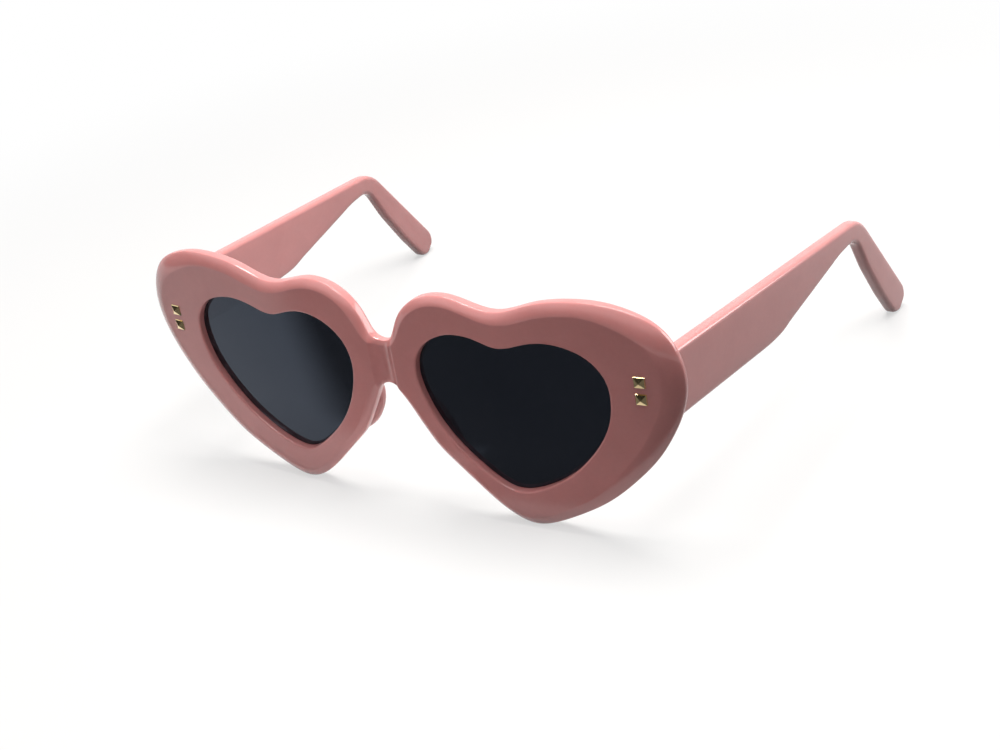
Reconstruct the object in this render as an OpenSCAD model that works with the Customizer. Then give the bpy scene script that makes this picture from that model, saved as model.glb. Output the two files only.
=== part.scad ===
// Heart shaped sunglasses with riveted hinges and wire-cored temples, in millimetres.
// The wearer's left is +X and the front faces -Y. The pair stands with its temples open,
// on both heart tips and both temple tips, and the origin is the middle of its footprint.
// Both sides are one side and its mirror image.

/* [Front] */
// Width over both hearts
front_w = 150; // [144:1:154]
// Thickness of the front, square to its face
front_t = 4; // [3.8:0.1:4.4]
// Radius of the slight dome of the front's face
dome_r = 650; // [620:10:900]
// Width of the bevelled edge beside the nose
edge_w = 2; // [1.6:0.1:2.4]
// Width of the bevelled edge in the middle of each heart
edge_mid_w = 2.8; // [2:0.1:3.2]
// Width of the bevelled edge at the temple side of each heart
edge_side_w = 4.4; // [3:0.1:5]
// Depth of the bevelled edge beside the nose
edge_d = 1.4; // [1:0.1:1.8]
// Depth of the bevelled edge in the middle of each heart
edge_mid_d = 1.4; // [0.8:0.1:1.8]
// Depth of the bevelled edge at the temple side of each heart
edge_side_d = 2.4; // [1.2:0.1:2.6]
// Crown of the bevel, from 1 for a flat one to 2 for a quarter round
edge_crown = 1.3; // [1.2:0.1:2]
// Radius of the edge round the back
back_r = 1; // [0.6:0.1:1.2]
// Depth of the scoop across the bridge
scoop_d = 1.3; // [0.5:0.1:1.6]
// Half the width of the scoop
scoop_w = 3.3; // [2.6:0.1:3.6]

/* [Lenses] */
// Thickness of a lens
lens_t = 1.6; // [1.4:0.1:1.8]
// Depth of the lens behind the front's face
lens_depth = 1.8; // [1.6:0.05:1.9]
// Depth of the groove that holds the lens
groove_d = 0.8; // [0.6:0.1:1]
// Width of that groove
groove_w = 1.1; // [0.9:0.1:1.2]
// Play between the lens and its groove
lens_play = 0.05; // [0.03:0.01:0.1]

/* [Studs] */
// Side of the square pyramid on each rivet
stud_w = 2.7; // [2.4:0.1:3.2]
// Height of the pyramid above its steep skirt
stud_h = 0.55; // [0.4:0.05:1]
// Height of the skirt round the pyramid
skirt_h = 0.25; // [0.15:0.05:0.4]
// Distance from the upper stud to the lower one
stud_pitch = 4.2; // [4:0.1:4.6]
// Distance of the studs from the middle of the front
stud_x = 65.8; // [65:0.1:66.5]
// Radius of a rivet's shank
shank_r = 0.7; // [0.5:0.05:0.8]

/* [Hinges] */
// Outer radius of a barrel
barrel_r = 1.5; // [1.4:0.05:1.6]
// Height of each of the three barrels
barrel_h = 3; // [2.8:0.1:3.2]
// Radius of the hinge screw
screw_r = 0.7; // [0.6:0.05:0.8]
// Radial play of the temple's barrel on the screw
screw_play = 0.05; // [0.03:0.01:0.08]
// Thickness of a hinge leaf
leaf_t = 0.9; // [0.7:0.1:1]
// Distance from the hinge axis to the temple's inner face
axis_in = 1.9; // [1.9:0.05:2.2]

/* [Temples] */
// Thickness of a temple
temple_t = 3.4; // [3.2:0.1:4.2]
// Height of a temple at the hinge
temple_h = 16.4; // [15:0.2:16.8]
// Height of its neck, where it bends over the ear
neck_h = 5.4; // [5:0.1:7]
// Height of the paddle behind the ear
paddle_h = 8.6; // [7:0.1:10]
// Length of the tall part, to the corner in its lower edge
tall_l = 54; // [46:1:56]
// Length from the front to the start of the ear bend
straight_l = 92; // [88:1:96]
// Radius of the ear bend, along the upper edge
bend_r = 13; // [11:1:20]
// Angle of the ear bend
bend_a = 44; // [36:1:50]
// Slope of a temple down towards its end
slope_a = 7; // [5:0.1:8]
// Angle at which each temple spreads outwards
splay_a = 3.7; // [2:0.1:4.5]
// Radius along a temple's edges
temple_r = 1.2; // [0.8:0.1:1.5]

/* [Hidden] */

pink = [0.74, 0.45, 0.44];
smoke = [0.1, 0.11, 0.13];
gold = [0.83, 0.68, 0.42];
steel = [0.72, 0.72, 0.73];
k = front_w / 150;

// Half of the outer outline as [x, z], from the bridge's top over the heart to the bridge's
// underside. Heights are counted from the level of the lens centres.
half_outline = k * [
    [0, 8.2], [2.7, 9.2], [5.2, 14.2], [9.2, 19], [14.4, 21.5], [20.3, 21.8], [26, 20.3],
    [32, 19.4], [38, 21], [43, 22.6], [49, 23.5], [56, 23.6], [63, 22.2], [69.8, 18.7],
    [73.9, 12.6], [75, 5.4], [73.4, -2], [70.4, -8.4], [67, -13.8], [63, -18.5],
    [54.5, -26.4], [45, -32.4], [39.6, -35.1], [34, -36.6], [28.6, -34.9], [23.6, -31.1],
    [19.4, -27], [14.9, -22.5], [11.2, -18.6], [8.6, -14.6], [6, -9.9], [3.7, -5.6],
    [2.1, -3.5], [0, -2.8]
];
// The lens opening of the left heart as [x, z]
opening = k * [
    [58.4, 2.3], [57.5, 6.6], [54.9, 10.1], [51, 12.4], [45, 13.6], [39.4, 12.9],
    [34.6, 11.4], [31, 11.2], [25.4, 12.9], [18.6, 12.8], [13.2, 10], [10.2, 6.1], [9.3, 1.5],
    [10.1, -3.6], [12.5, -9.8], [16.9, -16.4], [22.5, -22], [27.4, -25.7], [31.6, -27],
    [38.1, -25.2], [45, -21], [50.5, -15.8], [55, -9.8], [57.6, -4]
];
heart_c = k * [34, -2];
// Height of the middle of the dome, and of the hinges' middle
dome_z = -4;
hinge_z = 4.6;
steps = 3;
cut_steps = 4;
bridge_edge_w = 1.2;
bridge_edge_d = 1;
lip = 0.3;

function unit(v) = v / norm(v);
function ease(t) = let(c = min(1, max(0, t))) c * c * (3 - 2 * c);
function flip(p) = [-p[0], p[1]];

// A point at fraction t of the smooth curve from b to c, with neighbours a and d
function curve(a, b, c, d, t) = b + 0.5 * t * ((c - a) + t * ((2 * a - 5 * b + 4 * c - d)
    + t * (3 * b - a - 3 * c + d)));
// The direction of that curve
function curve_way(a, b, c, d, t) = (c - a) + 2 * t * (2 * a - 5 * b + 4 * c - d)
    + 3 * t * t * (3 * b - a - 3 * c + d);

// Depth of the surface that lies d below the front's face, at [x, z]
function dome(p, d) = dome_r - sqrt(pow(dome_r - d, 2) - p[0] * p[0] - pow(p[1] - dome_z, 2));
scoop_r = (scoop_w * scoop_w + scoop_d * scoop_d) / (2 * scoop_d);
function scoop(p) = abs(p[0]) < scoop_w
    ? sqrt(scoop_r * scoop_r - p[0] * p[0]) - scoop_r + scoop_d : 0;
// A point of the front at plan position p, d below the plain face; the scoop fades out by half depth
function at_depth(p, d) = [p[0], dome(p, d) + scoop(p) * max(0, 1 - 2 * d / front_t), p[1]];

// Outer outline samples as [point, outward normal, on the cut between the halves]
ring_n = len(half_outline);
padded = concat([flip(half_outline[1])], half_outline, [flip(half_outline[ring_n - 2])]);
function outline_sample(i, t) =
    let(a = padded[i], b = padded[i + 1], c = padded[i + 2], d = padded[i + 3],
        w = unit(curve_way(a, b, c, d, t)))
    [curve(a, b, c, d, t), [-w[1], w[0]], false];
bridge_top = half_outline[0][1];
bridge_low = half_outline[ring_n - 1][1];
samples = concat(
    [for (i = [0 : ring_n - 2], s = [0 : steps - 1]) outline_sample(i, s / steps)],
    [[half_outline[ring_n - 1], [0, -1], false]],
    [for (s = [1 : cut_steps])
        [[0, bridge_low + bridge_edge_w
            + (bridge_top - bridge_low - 2 * bridge_edge_w) * s / (cut_steps + 1)], [-1, 0], true]]
);
spokes = len(samples);

// The lens opening, sampled where the spokes from the heart's centre cross it
opening_curve = [for (i = [0 : len(opening) - 1], s = [0 : 3])
    let(n = len(opening))
    curve(opening[(i + n - 1) % n], opening[i], opening[(i + 1) % n], opening[(i + 2) % n], s / 4)];
function cross2(a, b) = a[0] * b[1] - a[1] * b[0];
function spoke_hit(way) =
    let(n = len(opening_curve),
        hits = [for (i = [0 : n - 1])
            let(a = opening_curve[i] - heart_c, b = opening_curve[(i + 1) % n] - heart_c,
                side_a = cross2(way, a), side_b = cross2(way, b), f = side_a / (side_a - side_b))
            if (side_a * side_b <= 0 && side_a != side_b && (a + f * (b - a)) * way > 0)
                a + f * (b - a)])
    heart_c + hits[0];
rim = [for (s = samples) spoke_hit(unit(s[0] - heart_c))];
rim_out = [for (i = [0 : spokes - 1])
    let(w = unit(rim[(i + 1) % spokes] - rim[(i + spokes - 1) % spokes])) [-w[1], w[0]]];
function rim_at(i, out) = rim[i] + out * rim_out[i];

// A size of the bevelled edge along the outline: one at the bridge, then beside the nose, in the
// middle of the heart and at its temple side
function along_edge(p, bridge, nose, mid, side) = bridge
    + (nose - bridge) * ease((p[0] / k - 1) / 5)
    + (mid - nose) * ease((p[0] / k - 24) / 14)
    + (side - mid) * ease((p[0] / k - 50) / 20);
function edge_width(p) = along_edge(p, bridge_edge_w, edge_w, edge_mid_w, edge_side_w);
function edge_depth(p) = along_edge(p, bridge_edge_d, edge_d, edge_mid_d, edge_side_d);
// The bevel's crown: a quarter round's sine or cosine s, made flatter
function turned(s) = pow(s, 2 / edge_crown);

groove_0 = lens_depth + (lens_t - groove_w) / 2;
groove_1 = groove_0 + groove_w;
face_stops = [0.25, 0.5, 0.7, 0.86];
round_angles = [0, 30, 60, 90];

// One cross-section of a heart's rim, from its inner back edge over the face and round the outside
function section(i) =
    let(s = samples[i], cut = s[2], ew = cut ? 0 : edge_width(s[0]),
        ed = cut ? 0 : edge_depth(s[0]), br = cut ? 0 : back_r,
        start = rim_at(i, lip), face_end = s[0] - ew * s[1], back_end = s[0] - br * s[1])
    concat(
        [at_depth(start, front_t), at_depth(rim[i], front_t - lip), at_depth(rim[i], groove_1),
         at_depth(rim_at(i, groove_d), groove_1), at_depth(rim_at(i, groove_d), groove_0),
         at_depth(rim[i], groove_0), at_depth(rim[i], lip), at_depth(start, 0)],
        [for (f = face_stops) at_depth(start + f * (face_end - start), 0)],
        [for (a = round_angles)
            at_depth(s[0] - ew * (1 - turned(sin(a))) * s[1], ed * (1 - turned(cos(a))))],
        [for (a = [0, 45, 90])
            at_depth(s[0] - br * (1 - cos(a)) * s[1], front_t - br * (1 - sin(a)))],
        [at_depth((back_end + start) / 2, front_t)]
    );
rings = 8 + len(face_stops) + len(round_angles) + 3 + 1;
face_end_ring = 8 + len(face_stops);
back_start_ring = rings - 2;
grid = [for (i = [0 : spokes - 1]) for (p = section(i)) p];
// The halves share their points on the middle plane
function left_id(i, j) = (i % spokes) * rings + (j % rings);
function right_id(v) = grid[v][0] == 0 ? v : v + len(grid);
first_cut = spokes - cut_steps - 1;
function on_cut(i, j) = i >= first_cut && j >= face_end_ring && j < back_start_ring;
half_faces = [for (i = [0 : spokes - 1], j = [0 : rings - 1]) if (!on_cut(i, j))
    for (f = [[left_id(i, j), left_id(i, j + 1), left_id(i + 1, j + 1)],
              [left_id(i, j), left_id(i + 1, j + 1), left_id(i + 1, j)]]) f];

// Where the pair stands
floor_z = min([for (s = samples) s[0][1]]);
// The local frame of a stud pair: on the face, with Y square into the front
stud_p = k * [stud_x, 0] + [0, hinge_z];
stud_tilt = asin(stud_p[0] / dome_r);
// The hinge axis, in that frame
axis_u = 2.1;
axis_v = front_t + leaf_t + barrel_r + 0.1;
hinge_x = stud_p[0] + axis_u * cos(stud_tilt) - axis_v * sin(stud_tilt);
hinge_y = dome(stud_p, 0) + axis_u * sin(stud_tilt) + axis_v * cos(stud_tilt);
barrel_gap = 0.05;
butt_gap = 0.5;
// How deep the studs and the hinge leaves are sunk into the front, and their play there
stud_sink = 0.1;
leaf_sink = 0.25;
sink_play = 0.02;
leaf_u = -4.2;
leaf_w = 7.2;
leaf_top = front_t - leaf_sink + leaf_t;
// Where the plate in the temple starts behind the axis, and its length
plate_y = 1.2;
plate_l = 9.6;

// The temple's path runs along its upper edge in the hinge's frame, Y along it and Z up
start_y = -4;
start_z = 8.5;
end_a = slope_a + bend_a;
bend_l = bend_r * bend_a * PI / 180;
paddle_r = paddle_h / 2;
bend_end = [start_y + straight_l * cos(slope_a) + bend_r * (sin(end_a) - sin(slope_a)),
            start_z - straight_l * sin(slope_a) - bend_r * (cos(slope_a) - cos(end_a))];
tip_z = floor_z - hinge_z + paddle_r;
paddle_l = (bend_end[1] - paddle_r * cos(end_a) - tip_z) / sin(end_a);
temple_l = straight_l + bend_l + paddle_l + paddle_r;
// Direction of the path at length s, as an angle below level, and its point
function way_a(s) = slope_a + bend_a * min(1, max(0, (s - straight_l) / bend_l));
function path(s) =
    s < straight_l ? [start_y + s * cos(slope_a), start_z - s * sin(slope_a)]
    : s < straight_l + bend_l
    ? [start_y + straight_l * cos(slope_a) + bend_r * (sin(way_a(s)) - sin(slope_a)),
       start_z - straight_l * sin(slope_a) - bend_r * (cos(slope_a) - cos(way_a(s)))]
    : bend_end + (s - straight_l - bend_l) * [cos(end_a), -sin(end_a)];
height_list = [[0, temple_h], [tall_l - 8, temple_h - 0.4], [tall_l - 3, temple_h - 0.8],
    [tall_l, temple_h - 1.3], [tall_l + 3, temple_h - 2.4], [straight_l - 13, neck_h + 2.7],
    [straight_l - 7, neck_h + 1], [straight_l, neck_h], [straight_l + bend_l, neck_h + 0.5],
    [straight_l + bend_l + 10, paddle_h - 1], [temple_l - 14, paddle_h]];
function height(s) = lookup(s, height_list);
// The rounded end of the paddle: how much of the height is left at s
function end_part(s) = s <= temple_l - paddle_r ? 1
    : sqrt(max(0, 1 - pow((s - temple_l + paddle_r) / paddle_r, 2)));
temple_stops = concat(
    [0, 12, 24, 36, tall_l - 8, tall_l - 3, tall_l, tall_l + 3, 65, straight_l - 13,
     straight_l - 7, straight_l - 3, straight_l],
    [for (t = [0.2 : 0.2 : 1]) straight_l + t * bend_l],
    [for (t = [0.25, 0.5, 0.75, 1]) straight_l + bend_l + t * paddle_l],
    [for (a = [20, 40, 60, 75, 86]) temple_l - paddle_r * (1 - sin(a))]
);
// A rounded bar's cross-section: half thickness a, half height b, corner radius r
function bar_section(a, b, r) =
    let(q = min(r, b * 0.95))
    [for (c = [[1, 1, 0], [-1, 1, 90], [-1, -1, 180], [1, -1, 270]], t = [0, 30, 60, 90])
        [c[0] * (a - q) + q * cos(c[2] + t), c[1] * (b - q) + q * sin(c[2] + t)]];
// That section, set across the path at s with its middle m below the upper edge
function placed(sec, s, m, x0) =
    let(p = path(s), a = way_a(s))
    [for (q = sec) [x0 + q[0], p[0] + (q[1] - m) * sin(a), p[1] + (q[1] - m) * cos(a)]];
temple_rings = [for (s = temple_stops)
    let(h = height(s) * end_part(s))
    placed(bar_section(temple_t / 2, h / 2, temple_r), s, height(s) / 2, axis_in + temple_t / 2)];

// The core wire: a flat bar in the middle of the temple, from behind the plate of the hinge leaf
wire_w = 2;
wire_t = 1.2;
wire_start = plate_y + plate_l - start_y + 0.7;
wire_end = temple_l - 12;
function wire_depth(s) = lookup(s, [[0, 8.2], [straight_l, neck_h / 2],
    [straight_l + bend_l, neck_h / 2 + 0.3], [temple_l - 14, paddle_h / 2]]);
wire_stops = concat([wire_start, straight_l / 2, straight_l],
    [for (t = [0.2 : 0.2 : 1]) straight_l + t * bend_l], [temple_l - 20, wire_end]);
wire_rings = [for (s = wire_stops)
    placed([[1, 1], [-1, 1], [-1, -1], [1, -1]] * [[wire_t / 2, 0], [0, wire_w / 2]],
        s, wire_depth(s), axis_in + temple_t / 2)];

rear_y = hinge_y + max([for (r = temple_rings) for (p = r) p[1] * cos(splay_a) - p[0] * sin(splay_a)]);

// A closed solid through rings of points, each ring with the same number of points
module skin(r) {
    n = len(r[0]);
    m = len(r);
    polyhedron(
        points = [for (ring = r) for (p = ring) p],
        faces = concat(
            [[for (j = [n - 1 : -1 : 0]) j]],
            [for (i = [0 : m - 2], j = [0 : n - 1]) for (f = [
                [i * n + j, i * n + (j + 1) % n, (i + 1) * n + (j + 1) % n],
                [i * n + j, (i + 1) * n + (j + 1) % n, (i + 1) * n + j]]) f],
            [[for (j = [0 : n - 1]) (m - 1) * n + j]]),
        convexity = 6);
}
// Puts the front's frame into the frame of the whole pair
module stand() { translate([0, -rear_y / 2, -floor_z]) children(); }
// Side 1 is the wearer's left, and -1 the right
module on_side(side) { stand() mirror([side < 0 ? 1 : 0, 0, 0]) children(); }
// The frame of a stud pair
module at_studs() {
    translate([stud_p[0], dome(stud_p, 0), hinge_z]) rotate([0, 0, stud_tilt]) children();
}
// The frame of a hinge, with Y along the temple and X outwards
module at_hinge() { translate([hinge_x, hinge_y, hinge_z]) rotate([0, 0, -splay_a]) children(); }
module along_y(y0, y1, r) {
    translate([0, y0, 0]) rotate([-90, 0, 0]) cylinder(r = r, h = y1 - y0, $fn = 32);
}
function barrel_low(n) = (n - 1.5) * barrel_h + (n == 1 ? barrel_gap : 0);

module front_frame() {
    seat = stud_w + 2 * sink_play;
    color(pink) stand() difference() {
        polyhedron(
            points = concat(grid, [for (p = grid) [-p[0], p[1], p[2]]]),
            faces = concat(half_faces, [for (f = half_faces) [for (v = [2, 1, 0]) right_id(f[v])]]),
            convexity = 8);
        for (side = [0, 1]) mirror([side, 0, 0]) at_studs() {
            for (z = [-0.5, 0.5]) translate([0, 0, z * stud_pitch]) {
                along_y(-1, front_t + 1, shank_r + sink_play);
                translate([-seat / 2, -1, -seat / 2]) cube([seat, 1 + stud_sink, seat]);
            }
            translate([leaf_u - sink_play, front_t - leaf_sink, -1.5 * barrel_h - sink_play])
                cube([leaf_w + 2 * sink_play, 3, 3 * barrel_h + 2 * sink_play]);
        }
    }
}
// A lens: a domed sheet that fills the opening, with a flange all round in the groove
module lens(side) {
    body = -lens_play;
    flange = groove_d - lens_play;
    lens_back = lens_depth + lens_t;
    color(smoke) on_side(side) skin([
        for (r = [[0.02, body, lens_back], [0.5, body, lens_back], [1, body, lens_back],
            [1, body, groove_1 - lens_play], [1, flange, groove_1 - lens_play],
            [1, flange, groove_0 + lens_play], [1, body, groove_0 + lens_play],
            [1, body, lens_depth], [0.5, body, lens_depth], [0.02, body, lens_depth]])
        [for (i = [0 : spokes - 1])
            let(p = heart_c + r[0] * (rim_at(i, r[1]) - heart_c)) [p[0], dome(p, r[2]), p[1]]]
    ]);
}
// A nose pad: a drop-shaped bead on the back of the front, along the nose
module nose_pad(side) {
    beads = k * [[7.1, -7.8, 1.9], [9.9, -13.4, 2.4], [13.4, -18.8, 2]];
    reach = 3.4;
    seat = dome([beads[0][0], beads[0][1]], front_t);
    seat_tilt = 1.2;
    color(pink) on_side(side) difference() {
        hull() for (b = beads) {
            translate([b[0], front_t, b[1]]) sphere(r = b[2], $fn = 20);
            translate([b[0] + 0.5, front_t + reach, b[1]]) sphere(r = b[2] * 0.55, $fn = 20);
        }
        translate([0, seat + 0.08, beads[0][1]]) rotate([seat_tilt, 0, 0])
            translate([-5, -10, -30]) cube([30, 10, 50]);
    }
}
// The front's hinge leaf: a plate under the rivets, and the upper and lower barrels
module front_hinge(side) {
    color(steel) on_side(side) difference() {
        union() {
            at_studs() translate([leaf_u, front_t - leaf_sink, -1.5 * barrel_h])
                cube([leaf_w, leaf_t, 3 * barrel_h]);
            for (n = [0, 2]) translate([0, 0, hinge_z + barrel_low(n)]) {
                translate([hinge_x, hinge_y, 0]) cylinder(r = barrel_r, h = barrel_h, $fn = 48);
                translate([0, 0, -hinge_z]) at_studs() linear_extrude(height = barrel_h)
                    polygon([[axis_u - 0.9, leaf_top - 0.3], [axis_u + 0.8, leaf_top - 0.3],
                        [axis_u + barrel_r * 0.8, axis_v], [axis_u - barrel_r * 0.8, axis_v]]);
            }
        }
        translate([hinge_x, hinge_y, hinge_z - 2 * barrel_h])
            cylinder(r = screw_r + sink_play, h = 4 * barrel_h, $fn = 48);
        at_studs() for (z = [-0.5, 0.5]) translate([0, 0, z * stud_pitch])
            along_y(front_t - 1, front_t + 2, shank_r + sink_play);
    }
}
module hinge_screw(side) {
    head_h = 0.6;
    color(steel) on_side(side) translate([hinge_x, hinge_y, hinge_z]) difference() {
        union() {
            translate([0, 0, -1.5 * barrel_h]) cylinder(r = screw_r, h = 3 * barrel_h, $fn = 48);
            translate([0, 0, 1.5 * barrel_h]) cylinder(r = 1.15, h = head_h, $fn = 48);
        }
        translate([-2, -0.15, 1.5 * barrel_h + head_h - 0.3]) cube([4, 0.3, 1]);
    }
}
// A rivet: a square pyramid with a steep skirt, its shank and the head that holds the hinge leaf
module stud(side, up) {
    skirt_slope = 65;
    base = stud_w / 2;
    top = base - skirt_h / tan(skirt_slope);
    head_h = 0.4;
    head_r = 1;
    square = [[-1, -1], [1, -1], [1, 1], [-1, 1]];
    color(gold) on_side(side) at_studs() translate([0, 0, up * stud_pitch / 2]) {
        translate([-base, 0, -base]) cube([stud_w, stud_sink, stud_w]);
        polyhedron(
            points = concat([for (q = square) [base * q[0], 0, base * q[1]]],
                [for (q = square) [top * q[0], -skirt_h, top * q[1]]], [[0, -skirt_h - stud_h, 0]]),
            faces = concat([[0, 1, 2, 3]], [for (i = [0 : 3]) let(j = (i + 1) % 4)
                for (f = [[j, i, i + 4, j + 4], [j + 4, i + 4, 8]]) f]));
        along_y(0, leaf_top, shank_r);
        along_y(leaf_top, leaf_top + head_h, head_r);
    }
}
module temple(side) {
    color(pink) on_side(side) difference() {
        at_hinge() skin(temple_rings);
        at_studs() translate([-10, front_t + butt_gap - 20, -40]) cube([40, 20, 80]);
        at_hinge() leaf_plate(1);
        at_hinge() skin(wire_rings);
    }
}
// The plate of the temple's leaf; open = 1 lets it out through the inner face
module leaf_plate(open) {
    translate([axis_in - open, plate_y, -1.4 * barrel_h])
        cube([leaf_t + open, plate_l, 2.8 * barrel_h]);
}
module temple_hinge(side) {
    low = barrel_low(1);
    color(steel) on_side(side) at_hinge() difference() {
        union() {
            leaf_plate(0);
            translate([0, 0, low]) cylinder(r = barrel_r, h = barrel_h - 2 * barrel_gap, $fn = 48);
            translate([0, 0, low]) linear_extrude(height = barrel_h - 2 * barrel_gap)
                polygon([[0.2, -1.2], [1.1, -0.8], [axis_in, plate_y], [axis_in + leaf_t / 2, plate_y],
                    [axis_in + leaf_t / 2, 4], [axis_in, 4], [-0.6, plate_y]]);
        }
        translate([0, 0, -2 * barrel_h])
            cylinder(r = screw_r + screw_play, h = 4 * barrel_h, $fn = 48);
    }
}
module core_wire(side) { color(steel) on_side(side) at_hinge() skin(wire_rings); }

front_frame();
lens(1);  // left_lens
lens(-1);  // right_lens
nose_pad(1);  // left_nose_pad
nose_pad(-1);  // right_nose_pad
front_hinge(1);  // left_front_hinge
front_hinge(-1);  // right_front_hinge
hinge_screw(1);  // left_hinge_screw
hinge_screw(-1);  // right_hinge_screw
stud(1, 1);  // left_upper_stud
stud(1, -1);  // left_lower_stud
stud(-1, 1);  // right_upper_stud
stud(-1, -1);  // right_lower_stud
temple(1);  // left_temple
temple(-1);  // right_temple
temple_hinge(1);  // left_temple_hinge
temple_hinge(-1);  // right_temple_hinge
core_wire(1);  // left_core_wire
core_wire(-1);  // right_core_wire
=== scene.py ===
import math

import bmesh
import bpy
import numpy as np
from mathutils import Matrix, Vector


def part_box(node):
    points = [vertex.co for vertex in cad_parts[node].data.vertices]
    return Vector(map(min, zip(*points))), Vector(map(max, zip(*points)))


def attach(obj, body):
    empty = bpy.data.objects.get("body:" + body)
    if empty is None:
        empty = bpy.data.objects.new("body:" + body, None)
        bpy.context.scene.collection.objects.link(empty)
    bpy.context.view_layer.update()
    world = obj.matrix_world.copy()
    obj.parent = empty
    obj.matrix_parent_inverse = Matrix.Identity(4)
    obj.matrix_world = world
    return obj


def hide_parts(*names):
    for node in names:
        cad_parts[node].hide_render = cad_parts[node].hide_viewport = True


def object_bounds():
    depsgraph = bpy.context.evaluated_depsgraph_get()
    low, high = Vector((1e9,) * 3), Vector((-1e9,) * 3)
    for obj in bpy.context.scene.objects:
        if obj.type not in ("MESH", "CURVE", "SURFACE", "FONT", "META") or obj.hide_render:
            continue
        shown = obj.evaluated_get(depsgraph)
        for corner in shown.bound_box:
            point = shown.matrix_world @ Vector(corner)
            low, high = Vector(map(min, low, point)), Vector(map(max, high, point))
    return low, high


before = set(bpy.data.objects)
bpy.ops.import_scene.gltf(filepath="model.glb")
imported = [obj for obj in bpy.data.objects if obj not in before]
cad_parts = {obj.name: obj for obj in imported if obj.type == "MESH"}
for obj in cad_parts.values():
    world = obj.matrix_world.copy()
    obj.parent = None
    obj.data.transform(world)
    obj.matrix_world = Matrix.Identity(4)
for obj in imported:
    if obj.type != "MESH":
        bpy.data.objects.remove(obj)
cad_low, cad_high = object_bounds()

MM = 0.001

# Sizes of the front in millimetres: the construction's own, and those of the finer round edges
FRONT_T = 4
DOME_R = 650
DOME_Z = -4
EDGE_WIDTHS = (1.2, 2, 2.8, 4.4)     # bridge, beside the nose, middle, temple side
EDGE_DEPTHS = (1, 1.4, 1.4, 2.4)
EDGE_BLENDS = ((1, 5), (24, 14), (50, 20))   # where each turns into the next, and over what length
EDGE_CROWN = 1.3
BACK_R = 1
SCOOP_D, SCOOP_W = 1.3, 3.3
SCOOP_SOFT = 0.1                    # how far the scoop's two edges are broken
SCOOP_END, SCOOP_FADE = 8, 3
LIP_R = 0.45                        # round edge between the face and each opening
RIM_R, RIM_MID = 0.35, 0.1          # round edge between each opening and the back
WALL_DEPTHS = (1.2, 0.8)            # rings between the groove and the lip

# Lenses and nose pads
LENS_T, LENS_DEPTH = 1.6, 1.8
GROOVE_D, GROOVE_W, LENS_PLAY = 0.8, 1.1, 0.05
LENS_IN, LENS_MID, LENS_DOWN = 0.12, 0.03, 0.1   # round edges of a lens
LENS_HUB = 0.02                     # the innermost ring, as a share of the outermost
PAD_LINE = np.array([[7.1, -7.8, 1.9], [9.9, -13.4, 2.4], [13.4, -18.8, 2.0]])   # x, z, half width
PAD_STRETCH, PAD_LEAN, PAD_TAPER = 1.8, 0.5, 0.4   # at the ends, outwards, and towards the crest
PAD_END_POWER, PAD_SIDE_POWER = 3.2, 0.8
PAD_MID, PAD_UP, PAD_DOWN = 2.1, 2.2, 2.05   # behind the front's back, and from there both ways

# Studs and hinges
STUD_W, STUD_PITCH, STUD_X, STUD_SINK = 2.7, 4.2, 65.8, 0.1
BARREL_R, BARREL_H, BARREL_OFF = 1.5, 3, 0.1
LEAF_T, LEAF_SINK, LEAF_U, LEAF_W = 0.9, 0.25, -4.2, 7.2
PLATE_Y, PLATE_L = 1.2, 9.6
LEAF_BARRELS, PLATE_BARRELS = 1.5, 1.4   # half heights, in barrels
AXIS_IN, AXIS_U = 1.9, 2.1
BUTT_GAP = 0.5
HINGE_Z = 4.6
HAIR = 0.04                         # the fine line between a metal part and the acetate round it
BROKEN_EDGE = 0.07
OVER = 1                            # how far a cutting box stands out of what it cuts

# Temples
TEMPLE_T, TEMPLE_H, NECK_H, PADDLE_H = 3.4, 16.4, 5.4, 8.6
TALL_L, STRAIGHT_L = 54, 92
BEND_R, BEND_A, SLOPE_A, SPLAY_A, TEMPLE_R = 13, 44, 7, 3.7, 1.2
START_Y, START_Z = -4, 8.5
TIP_TRIM = 0.1                      # taken off the tips, because the softened bend reaches further
SOFTNESS, BLUR_REACH = 1.2, 4       # blur of the corner and the bend
BUTT_L = 10                         # length in which the rings turn from the butt plane to square
BUTT_ROUND = ((0.35, 0.0), (0.1, 0.1), (0.0, 0.35))   # round edge of the butt, as inset and way along

# Fineness
SPLINE_STEPS, OUTLINE_COUNT, OPENING_COUNT = 60, 4000, 1600
OUTLINE_BLUR, OPENING_BLUR = 0.8, 0.7
EDGE_COUNT, CUT_COUNT = 430, 24
BRIDGE_CROWD, BRIDGE_REACH = 2.5, 5   # how much closer together the outline's points are there
LIP_STEPS, FACE_STEPS, BEVEL_STEPS, BACK_STEPS = 6, 27, 19, 8
BACK_SHARES = (0.15, 0.35, 0.55, 0.75, 0.9)
LENS_COUNT, LENS_RINGS = 320, 24
PAD_RINGS, PAD_SIDES = 40, 36
BUTT_RINGS, TIP_RINGS, CORNER_POINTS = 12, 16, 7
RUN_STEP, RUN_OUT = 0.05, 10        # along a temple's line, and how far it runs past both ends
BUTT_STEP, TALL_STEP, NECK_STEP, TURN_STEP, TURN_REACH = 1.5, 2.5, 1.6, 0.8, 6
TIP_FROM, TIP_TO = 4, 88            # degrees round the paddle's end
CORNER_SHARE, FLAT_SHARES = 0.98, (0.25, 0.5, 0.75)   # of a cross-section's half sizes and flats
NEARLY = 0.999                      # of the scoop's radius, to stay off its upright end
SAME_PLACE, NO_LENGTH, IN_MIDDLE = 2e-7, 1e-7, 1e-9   # metres
SHARP, LENS_SHARP, PAD_SHARP, METAL_SHARP = 35, 30, 50, 20   # degrees

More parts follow.
